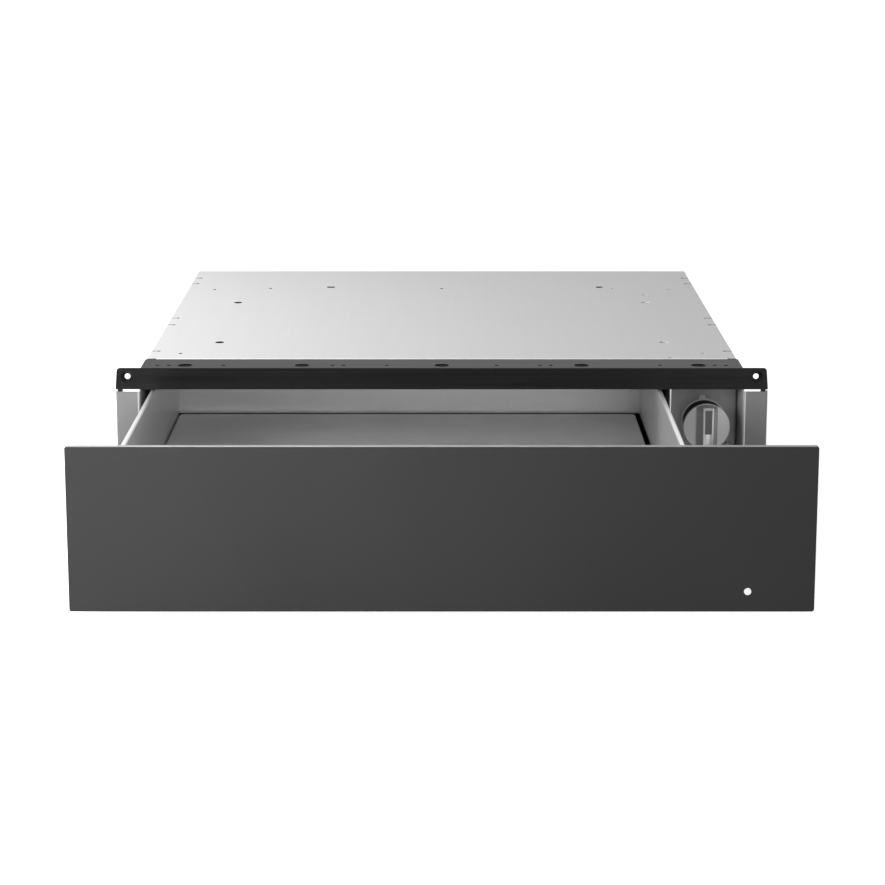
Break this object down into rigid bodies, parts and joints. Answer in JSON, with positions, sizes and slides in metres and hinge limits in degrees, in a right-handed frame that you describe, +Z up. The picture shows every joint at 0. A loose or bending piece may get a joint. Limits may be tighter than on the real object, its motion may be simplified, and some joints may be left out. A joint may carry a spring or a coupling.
{
  "type": "built-in warming drawer",
  "caption": "Built-in warming drawer, open: pan on telescopic runners behind a flat dark front, sheet case, recessed rotary control and hot-air blower.",
  "frame": {"origin": "middle of the footprint with the drawer 278 mm open, at the underside of the feet", "axes": "+X to the right seen from the front, +Y from the front to the back, +Z up"},
  "size_m": [0.596, 0.83, 0.14],
  "materials": {
    "galvanised": "satin",
    "black_rail": "satin",
    "stainless": "brushed",
    "front_black": "matte",
    "floor_glass": "satin",
    "knob_metal": "satin",
    "knob_dark": "matte",
    "clear_guide": "gloss",
    "dark_plastic": "matte",
    "light_plastic": "matte",
    "rubber": "matte",
    "screw_steel": "satin",
    "ball_steel": "polished",
    "copper_coil": "satin",
    "heater_sheath": "satin"
  },
  "bodies": {
    "case": {"cabinet_top": "galvanised", "cabinet_side_left": "galvanised", "cabinet_side_right": "galvanised", "cabinet_base": "galvanised", "cabinet_back": "galvanised", "front_rail": "black_rail", "feet": "rubber", "case_screws": "screw_steel", "bay_wall": "galvanised", "control_panel": "stainless", "knob_bezel": "knob_metal", "panel_screws": "screw_steel", "thermostat": "light_plastic", "indicator_lamp": "clear_guide", "terminal_block": "light_plastic", "cable_gland": "dark_plastic", "latch_body": "dark_plastic", "fan_housing": "galvanised", "fan_motor": "screw_steel", "fan_bearing": "rubber", "heating_element": "heater_sheath", "thermal_cutout": "dark_plastic", "runner_cabinet_left": "galvanised", "runner_cabinet_right": "galvanised"},
    "drawer": {"front_panel": "front_black", "front_carrier": "galvanised", "light_guide": "clear_guide", "drawer_pan": "stainless", "floor_plate": "floor_glass", "plate_supports": "rubber", "front_buffers": "rubber", "front_screws": "screw_steel", "latch_striker": "light_plastic", "drawer_brackets": "galvanised", "runner_drawer_left": "galvanised", "runner_drawer_right": "galvanised"},
    "knob": {"knob": "knob_metal", "knob_inlay": "knob_dark", "thermostat_spindle": "screw_steel"},
    "fan": {"fan_wheel": "stainless", "fan_rotor": "screw_steel", "fan_stub_shaft": "screw_steel"},
    "latch_plunger": {"latch_plunger": "light_plastic"},
    "runner_middle_left": {"runner_middle_left": "galvanised"},
    "cage_outer_left": {"ball_cage_outer_left": "screw_steel", "balls_outer_left": "ball_steel"},
    "cage_inner_left": {"ball_cage_inner_left": "screw_steel", "balls_inner_left": "ball_steel"},
    "runner_middle_right": {"runner_middle_right": "galvanised"},
    "cage_outer_right": {"ball_cage_outer_right": "screw_steel", "balls_outer_right": "ball_steel"},
    "cage_inner_right": {"ball_cage_inner_right": "screw_steel", "balls_inner_right": "ball_steel"}
  },
  "joints": [
    {"name": "drawer_slide", "type": "slide", "parent": "case", "child": "drawer", "axis": [0, -1, 0], "range_m": [-0.278, 0.122]},
    {"name": "runner_middle_left_slide", "type": "slide", "parent": "case", "child": "runner_middle_left", "axis": [0, -1, 0], "range_m": [-0.1395, 0.0615]},
    {"name": "cage_outer_left_slide", "type": "slide", "parent": "case", "child": "cage_outer_left", "axis": [0, -1, 0], "range_m": [-0.07, 0.031]},
    {"name": "cage_inner_left_slide", "type": "slide", "parent": "case", "child": "cage_inner_left", "axis": [0, -1, 0], "range_m": [-0.209, 0.092]},
    {"name": "runner_middle_right_slide", "type": "slide", "parent": "case", "child": "runner_middle_right", "axis": [0, -1, 0], "range_m": [-0.1395, 0.0615]},
    {"name": "cage_outer_right_slide", "type": "slide", "parent": "case", "child": "cage_outer_right", "axis": [0, -1, 0], "range_m": [-0.07, 0.031]},
    {"name": "cage_inner_right_slide", "type": "slide", "parent": "case", "child": "cage_inner_right", "axis": [0, -1, 0], "range_m": [-0.209, 0.092]},
    {"name": "knob_turn", "type": "hinge", "parent": "case", "child": "knob", "pos_m": [0.2444, -0.106, 0.0814], "axis": [0, 1, 0], "range_deg": [0, 270]},
    {"name": "fan_spin", "type": "hinge", "parent": "case", "child": "fan", "pos_m": [-0.06, 0.3908, 0.103], "axis": [1, 0, 0], "continuous": true},
    {"name": "latch_push", "type": "slide", "parent": "case", "child": "latch_plunger", "axis": [0, 1, 0], "range_m": [0, 0.0025], "stiffness_N_per_m": 500}
  ],
  "couplings": [
    {"joint": "runner_middle_left_slide", "follows": "drawer_slide", "ratio": 0.5},
    {"joint": "cage_outer_left_slide", "follows": "drawer_slide", "ratio": 0.25},
    {"joint": "cage_inner_left_slide", "follows": "drawer_slide", "ratio": 0.75},
    {"joint": "runner_middle_right_slide", "follows": "drawer_slide", "ratio": 0.5},
    {"joint": "cage_outer_right_slide", "follows": "drawer_slide", "ratio": 0.25},
    {"joint": "cage_inner_right_slide", "follows": "drawer_slide", "ratio": 0.75}
  ]
}
